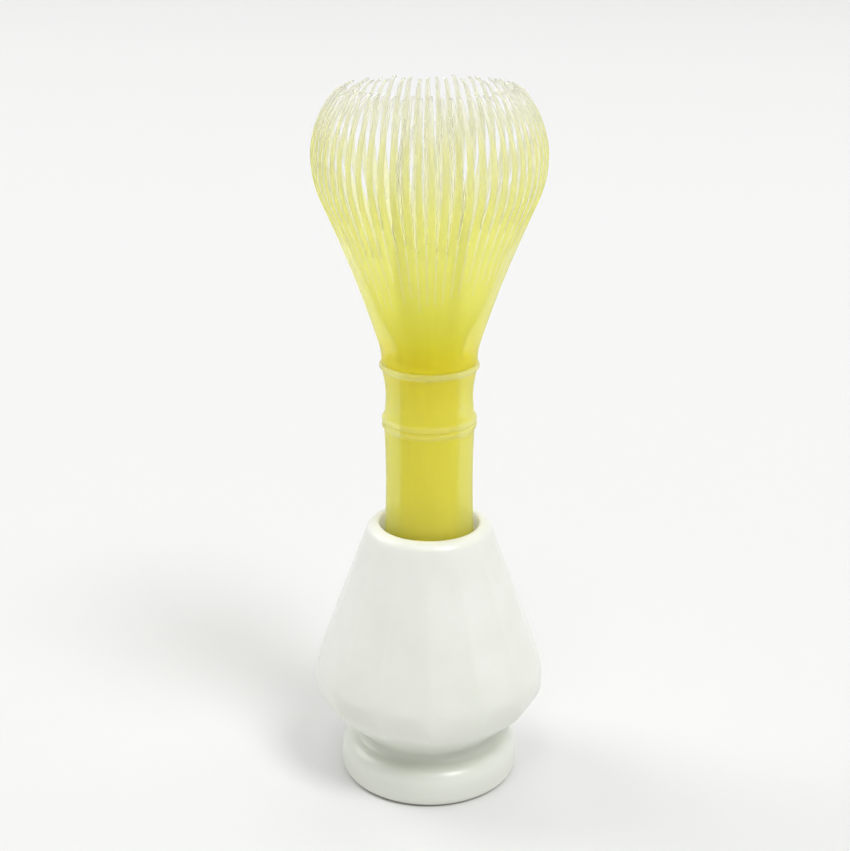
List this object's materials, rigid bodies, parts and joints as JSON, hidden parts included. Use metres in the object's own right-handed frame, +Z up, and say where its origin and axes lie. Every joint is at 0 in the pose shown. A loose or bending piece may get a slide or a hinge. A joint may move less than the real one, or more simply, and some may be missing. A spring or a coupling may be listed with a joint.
{
  "type": "tea whisk with holder",
  "caption": "Moulded resin tea whisk with a ringed handle and a flared crown of curved tines, standing handle down in a faceted glazed ceramic holder.",
  "frame": {"origin": "middle of the holder's foot, on the surface it stands on", "axes": "+Z up along the axis that the holder and the whisk share, -Y towards the viewer of the picture"},
  "size_m": [0.0598, 0.0608, 0.1816],
  "materials": {
    "white_glaze": "soft gloss white glaze",
    "yellow_resin": "translucent yellow, smooth moulded gloss",
    "pale_resin": "translucent pale yellow, clearer towards the tips"
  },
  "bodies": {
    "holder": {"holder": "white_glaze"},
    "whisk": {"handle": "yellow_resin", "outer_tines": "pale_resin", "inner_tines": "pale_resin"}
  },
  "joints": [
    {"name": "whisk_lift", "type": "slide", "parent": "holder", "child": "whisk", "axis": [0, 0, 1], "range_m": [0, 0.04]}
  ]
}
